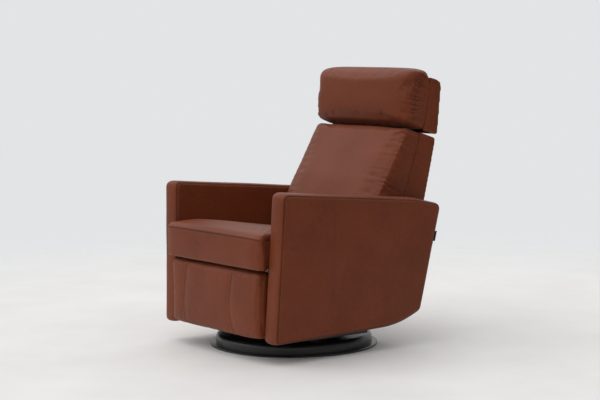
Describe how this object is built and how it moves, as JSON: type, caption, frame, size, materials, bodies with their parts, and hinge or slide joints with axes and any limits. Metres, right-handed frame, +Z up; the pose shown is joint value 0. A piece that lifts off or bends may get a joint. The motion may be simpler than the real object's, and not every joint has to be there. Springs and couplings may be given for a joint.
{
  "type": "swivel recliner",
  "caption": "Upholstered armchair on a round disc base that swivels, with a reclining back, sliding seat, fold-out footrest and tilting headrest.",
  "frame": {"origin": "centre of the disc base's underside, on the swivel axis", "axes": "+X to the sitter's left, -Y forward, +Z up"},
  "size_m": [0.808, 0.9351, 1.0967],
  "materials": {
    "leather": "semi-aniline cognac leather",
    "base_steel": "black powder coat, semi-gloss",
    "felt": "felt",
    "mechanism": "black powder coat",
    "pins": "zinc plated",
    "nylon": "natural nylon",
    "wood": "plywood",
    "webbing": "elastic webbing"
  },
  "bodies": {
    "base": {"base_plate": "base_steel", "felt_ring": "felt", "base_dome": "base_steel", "centre_post": "base_steel", "post_bush": "nylon"},
    "chassis": {"swivel_plate": "mechanism", "swivel_stud": "pins", "cross_channel_front": "mechanism", "cross_channel_rear": "mechanism", "base_rail_right": "mechanism", "base_rail_left": "mechanism", "side_plate_right": "mechanism", "side_plate_left": "mechanism", "rear_cross_tube": "mechanism", "arm_frame_right": "wood", "arm_frame_left": "wood", "arm_pad_right": "leather", "arm_pad_left": "leather", "arm_bolts": "pins"},
    "seat": {"seat_rail_right": "mechanism", "seat_rail_left": "mechanism", "glide_blocks": "nylon", "seat_frame_front": "wood", "seat_frame_rear": "wood", "seat_frame_right": "wood", "seat_frame_left": "wood", "seat_straps": "webbing", "seat_cushion": "leather", "rail_pins": "pins", "back_pins": "pins"},
    "lower_linkage": {"lower_links": "mechanism", "link_cross_tube": "mechanism", "knee_pins": "pins"},
    "upper_linkage": {"upper_links": "mechanism"},
    "tie_linkage": {"tie_links": "mechanism", "tie_pins": "pins"},
    "board_linkage": {"board_links": "mechanism"},
    "footrest": {"footrest_board": "wood", "footrest_brackets": "mechanism", "footrest_pad": "leather", "footrest_pins": "pins"},
    "back": {"back_post_right": "wood", "back_post_left": "wood", "back_top_rail": "wood", "back_bottom_rail": "wood", "back_straps": "webbing", "back_shell": "leather", "back_cushion": "leather", "back_skirt": "leather", "back_brackets": "mechanism", "hinge_leaves": "mechanism"},
    "headrest": {"headrest_arms": "mechanism", "headrest_board": "wood", "headrest_pins": "pins", "headrest_shell": "leather", "headrest_cushion": "leather"}
  },
  "joints": [
    {"name": "swivel", "type": "hinge", "parent": "base", "child": "chassis", "pos_m": [0, 0, 0.06], "axis": [0, 0, 1], "continuous": true},
    {"name": "seat_slide", "type": "slide", "parent": "chassis", "child": "seat", "axis": [0, -1, 0], "range_m": [0, 0.07001]},
    {"name": "back_recline", "type": "hinge", "parent": "seat", "child": "back", "pos_m": [0, 0.185, 0.352], "axis": [-1, 0, 0], "range_deg": [0, 28]},
    {"name": "headrest_tilt", "type": "hinge", "parent": "back", "child": "headrest", "pos_m": [0, 0.4, 0.893], "axis": [1, 0, 0], "range_deg": [0, 20]},
    {"name": "footrest_swing", "type": "hinge", "parent": "seat", "child": "lower_linkage", "pos_m": [0, -0.25, 0.29], "axis": [-1, 0, 0], "range_deg": [0, 90]},
    {"name": "knee_fold", "type": "hinge", "parent": "lower_linkage", "child": "upper_linkage", "pos_m": [0, -0.19088, 0.10912], "axis": [-1, 0, 0], "range_deg": [-90.01, 0]},
    {"name": "footrest_tip", "type": "hinge", "parent": "upper_linkage", "child": "footrest", "pos_m": [0, -0.32501, 0.24997], "axis": [-1, 0, 0], "range_deg": [0, 90.01]},
    {"name": "tie_swing", "type": "hinge", "parent": "seat", "child": "tie_linkage", "pos_m": [0, -0.28793, 0.32983], "axis": [-1, 0, 0], "range_deg": [0, 90.01]},
    {"name": "board_link_fold", "type": "hinge", "parent": "tie_linkage", "child": "board_linkage", "pos_m": [0, -0.21017, 0.09191], "axis": [-1, 0, 0], "range_deg": [-90.01, 0]}
  ],
  "couplings": [
    {"joint": "seat_slide", "follows": "back_recline", "m_per_rad": 0.14324},
    {"joint": "knee_fold", "follows": "footrest_swing", "ratio": -1},
    {"joint": "footrest_tip", "follows": "footrest_swing", "ratio": 1},
    {"joint": "tie_swing", "follows": "footrest_swing", "ratio": 1},
    {"joint": "board_link_fold", "follows": "footrest_swing", "ratio": -1}
  ]
}
